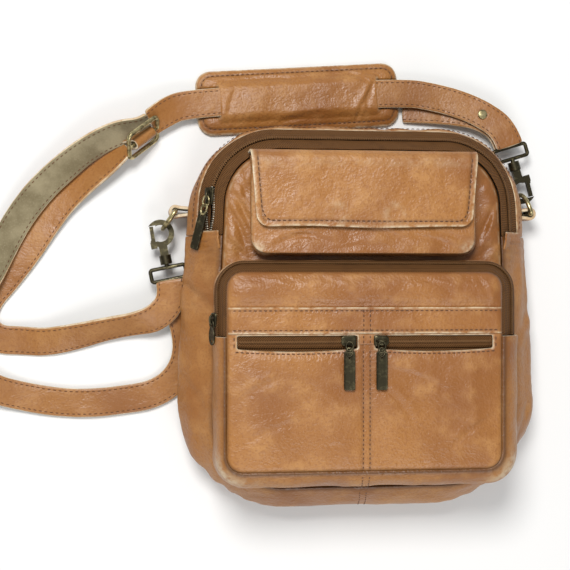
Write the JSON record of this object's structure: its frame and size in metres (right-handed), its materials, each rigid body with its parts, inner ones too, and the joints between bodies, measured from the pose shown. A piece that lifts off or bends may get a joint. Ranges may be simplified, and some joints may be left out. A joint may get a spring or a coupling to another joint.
{
  "type": "sling bag",
  "caption": "Tan leather sling bag lying on its back, with zipped compartments, a magnetic flap pouch and a padded strap on snap hooks.",
  "frame": {"origin": "middle of the back panel's face, on the surface that the bag lies on", "axes": "+Z out of the bag's front, +Y to the bag's top, +X to the right as the front is seen"},
  "size_m": [0.4556, 0.3452, 0.0983],
  "materials": {
    "tan_leather": "pull-up full grain, waxed",
    "suede_backing": "suede back",
    "lining_fabric": "plain cotton",
    "zip_tape": "woven twill tape",
    "antique_brass": "antiqued",
    "zip_metal": "dark antiqued",
    "pad_foam": "closed cell",
    "magnet_metal": "nickel"
  },
  "bodies": {
    "bag": {"back_panel": "tan_leather", "side_and_bottom_gusset": "tan_leather", "rear_top_strip": "tan_leather", "front_panel": "tan_leather", "main_zip_tape_rear": "zip_tape", "main_zip_tape_front": "zip_tape", "main_zip_teeth": "zip_metal", "main_zip_end_caps": "tan_leather", "lining": "lining_fabric", "slip_pocket": "lining_fabric", "pouch_gusset": "tan_leather", "pouch_front": "tan_leather", "pouch_magnets": "magnet_metal", "flap_root_strip": "tan_leather", "organiser_gusset": "tan_leather", "organiser_rear_strip": "tan_leather", "organiser_zip_tape_rear": "zip_tape", "organiser_zip_tape_front": "zip_tape", "organiser_zip_teeth": "zip_metal", "organiser_backing": "lining_fabric", "organiser_top_panel": "tan_leather", "organiser_lower_panel": "tan_leather", "organiser_band": "tan_leather", "organiser_centre_tab": "tan_leather", "left_front_zip_tape": "zip_tape", "right_front_zip_tape": "zip_tape", "left_front_zip_teeth": "zip_metal", "right_front_zip_teeth": "zip_metal", "left_ring_loop": "tan_leather", "right_ring_loop": "tan_leather", "left_hook_eye": "antique_brass", "right_hook_eye": "antique_brass", "strap_upper": "tan_leather", "strap_outer_strand": "suede_backing", "strap_inner_strand": "suede_backing", "strap_tail": "tan_leather", "strap_rivet": "antique_brass", "strap_adjuster": "antique_brass", "adjuster_fold": "tan_leather"},
    "flap": {"flap": "tan_leather", "flap_magnets": "magnet_metal"},
    "main_slider": {"main_zip_slider": "zip_metal"},
    "main_pull": {"main_zip_pull": "zip_metal"},
    "organiser_slider": {"organiser_zip_slider": "zip_metal"},
    "organiser_pull": {"organiser_zip_pull": "zip_metal"},
    "left_slider": {"left_front_zip_slider": "zip_metal"},
    "left_pull": {"left_front_zip_pull": "zip_metal"},
    "right_slider": {"right_front_zip_slider": "zip_metal"},
    "right_pull": {"right_front_zip_pull": "zip_metal"},
    "left_ring": {"left_d_ring": "antique_brass"},
    "right_ring": {"right_d_ring": "antique_brass"},
    "left_hook": {"left_hook_body": "antique_brass"},
    "left_gate": {"left_hook_gate": "antique_brass"},
    "right_hook": {"right_hook_body": "antique_brass"},
    "right_gate": {"right_hook_gate": "antique_brass"},
    "shoulder_pad": {"pad_base": "tan_leather", "pad_foam": "pad_foam", "pad_top": "tan_leather"}
  },
  "joints": [
    {"name": "flap_hinge", "type": "hinge", "parent": "bag", "child": "flap", "pos_m": [0, 0.1225, 0.0615], "axis": [-1, 0, 0], "range_deg": [0, 90]},
    {"name": "main_zip_slide", "type": "slide", "parent": "bag", "child": "main_slider", "axis": [0.0559, 0.9984, 0], "range_m": [-0.0185, 0]},
    {"name": "main_pull_hinge", "type": "hinge", "parent": "main_slider", "child": "main_pull", "pos_m": [-0.11614, 0.09015, 0.05368], "axis": [-0.7075, 0, -0.7068], "range_deg": [0, 150]},
    {"name": "organiser_zip_slide", "type": "slide", "parent": "bag", "child": "organiser_slider", "axis": [0, 1, 0], "range_m": [-0.006, 0.019]},
    {"name": "organiser_pull_hinge", "type": "hinge", "parent": "organiser_slider", "child": "organiser_pull", "pos_m": [-0.1158, -0.001, 0.076], "axis": [0, 0, -1], "range_deg": [0, 150]},
    {"name": "left_zip_slide", "type": "slide", "parent": "bag", "child": "left_slider", "axis": [-1, 0, 0], "range_m": [0, 0.072]},
    {"name": "left_pull_hinge", "type": "hinge", "parent": "left_slider", "child": "left_pull", "pos_m": [-0.013, -0.016, 0.0968], "axis": [-1, 0, 0], "range_deg": [0, 165]},
    {"name": "right_zip_slide", "type": "slide", "parent": "bag", "child": "right_slider", "axis": [1, 0, 0], "range_m": [0, 0.072]},
    {"name": "right_pull_hinge", "type": "hinge", "parent": "right_slider", "child": "right_pull", "pos_m": [0.013, -0.016, 0.0968], "axis": [-1, 0, 0], "range_deg": [0, 165]},
    {"name": "left_ring_hinge", "type": "hinge", "parent": "bag", "child": "left_ring", "pos_m": [-0.139, 0.08, 0.0165], "axis": [0, 0, 1], "range_deg": [-4, 4]},
    {"name": "right_ring_hinge", "type": "hinge", "parent": "bag", "child": "right_ring", "pos_m": [0.139, 0.08, 0.0165], "axis": [0, 0, 1], "range_deg": [-15, 0.5]},
    {"name": "left_hook_swivel", "type": "hinge", "parent": "bag", "child": "left_hook", "pos_m": [-0.14459, 0.03608, 0.0155], "axis": [-0.2, 0.9798, 0], "range_deg": [-12, 4]},
    {"name": "left_gate_hinge", "type": "hinge", "parent": "left_hook", "child": "left_gate", "pos_m": [-0.15571, 0.05705, 0.0155], "axis": [0, 0, -1], "range_deg": [0, 25], "stiffness_Nm_per_rad": 0.02, "springref_deg": -11.46},
    {"name": "right_hook_swivel", "type": "hinge", "parent": "bag", "child": "right_hook", "pos_m": [0.12754, 0.12567, 0.0155], "axis": [0.293, -0.9561, 0], "range_deg": [-15, 7]},
    {"name": "right_gate_hinge", "type": "hinge", "parent": "right_hook", "child": "right_gate", "pos_m": [0.14061, 0.10587, 0.0155], "axis": [0, 0, -1], "range_deg": [0, 25], "stiffness_Nm_per_rad": 0.02, "springref_deg": -11.46},
    {"name": "pad_slide", "type": "slide", "parent": "bag", "child": "shoulder_pad", "axis": [0.9976, 0.0694, 0], "range_m": [-0.012, 0.0012]}
  ]
}
